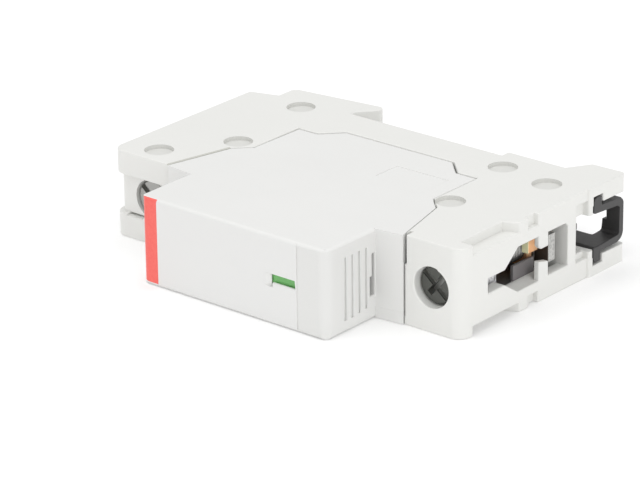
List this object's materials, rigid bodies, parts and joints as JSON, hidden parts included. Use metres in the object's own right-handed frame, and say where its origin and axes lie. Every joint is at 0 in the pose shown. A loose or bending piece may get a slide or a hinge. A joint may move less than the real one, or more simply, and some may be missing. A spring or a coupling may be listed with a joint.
{
  "type": "din rail surge arrester",
  "caption": "Flat rail-mounted surge arrester with screw terminals at both ends, a plug-in cartridge with an indicator window, and a sliding rail clip.",
  "frame": {"origin": "middle of the rail seat, at mid-width of the module", "axes": "+X along the module's height towards the sliding clip, -Y towards the cartridge's front, +Z across the module's width; it lies on its -Z side"},
  "size_m": [0.0855, 0.0648, 0.0178],
  "materials": {
    "base_plastic": "satin moulded",
    "cartridge_plastic": "satin moulded",
    "clip_plastic": "satin moulded",
    "screw_steel": "zinc plated, dull",
    "cage_steel": "zinc plated",
    "copper": "bare copper",
    "spring_steel": "drawn wire",
    "varistor_coating": "dipped resin",
    "solder": "solidified",
    "flag_green": "moulded",
    "backing_red": "moulded"
  },
  "bodies": {
    "base": {"base_housing": "base_plastic", "base_cover": "base_plastic", "busbar_left": "copper", "busbar_right": "copper", "contact_jaw_left": "copper", "contact_jaw_right": "copper", "jaw_spring_left": "spring_steel", "jaw_spring_right": "spring_steel"},
    "cartridge": {"cartridge_tray": "cartridge_plastic", "cartridge_cover": "cartridge_plastic", "varistor_block": "varistor_coating", "electrode_left": "copper", "electrode_right": "copper", "blade_left": "copper", "blade_right": "copper", "disconnect_arm": "copper", "solder_joint": "solder", "arm_spring": "spring_steel", "indicator_backing": "backing_red", "indicator_spring": "spring_steel"},
    "clip": {"rail_clip": "clip_plastic"},
    "screw_left": {"terminal_screw_left": "screw_steel"},
    "screw_right": {"terminal_screw_right": "screw_steel"},
    "cage_left": {"clamp_cage_left": "cage_steel"},
    "cage_right": {"clamp_cage_right": "cage_steel"},
    "flag": {"indicator_flag": "flag_green"}
  },
  "joints": [
    {"name": "cartridge_pull", "type": "slide", "parent": "base", "child": "cartridge", "axis": [0, -1, 0], "range_m": [0, 0.05]},
    {"name": "clip_slide", "type": "slide", "parent": "base", "child": "clip", "axis": [1, 0, 0], "range_m": [0, 0.004]},
    {"name": "screw_turn_left", "type": "hinge", "parent": "base", "child": "screw_left", "pos_m": [-0.0345, -0.04, 0], "axis": [0, 1, 0], "range_deg": [-946, 451]},
    {"name": "screw_turn_right", "type": "hinge", "parent": "base", "child": "screw_right", "pos_m": [0.0345, -0.04, 0], "axis": [0, 1, 0], "range_deg": [-946, 451]},
    {"name": "cage_lift_left", "type": "slide", "parent": "base", "child": "cage_left", "axis": [0, -1, 0], "range_m": [-0.0021, 0.001]},
    {"name": "cage_lift_right", "type": "slide", "parent": "base", "child": "cage_right", "axis": [0, -1, 0], "range_m": [-0.0021, 0.001]},
    {"name": "flag_slide", "type": "slide", "parent": "cartridge", "child": "flag", "axis": [-1, 0, 0], "range_m": [0, 0.0062]}
  ],
  "couplings": [
    {"joint": "screw_turn_left", "follows": "cage_lift_left", "rad_per_m": 7854},
    {"joint": "screw_turn_right", "follows": "cage_lift_right", "rad_per_m": 7854}
  ]
}
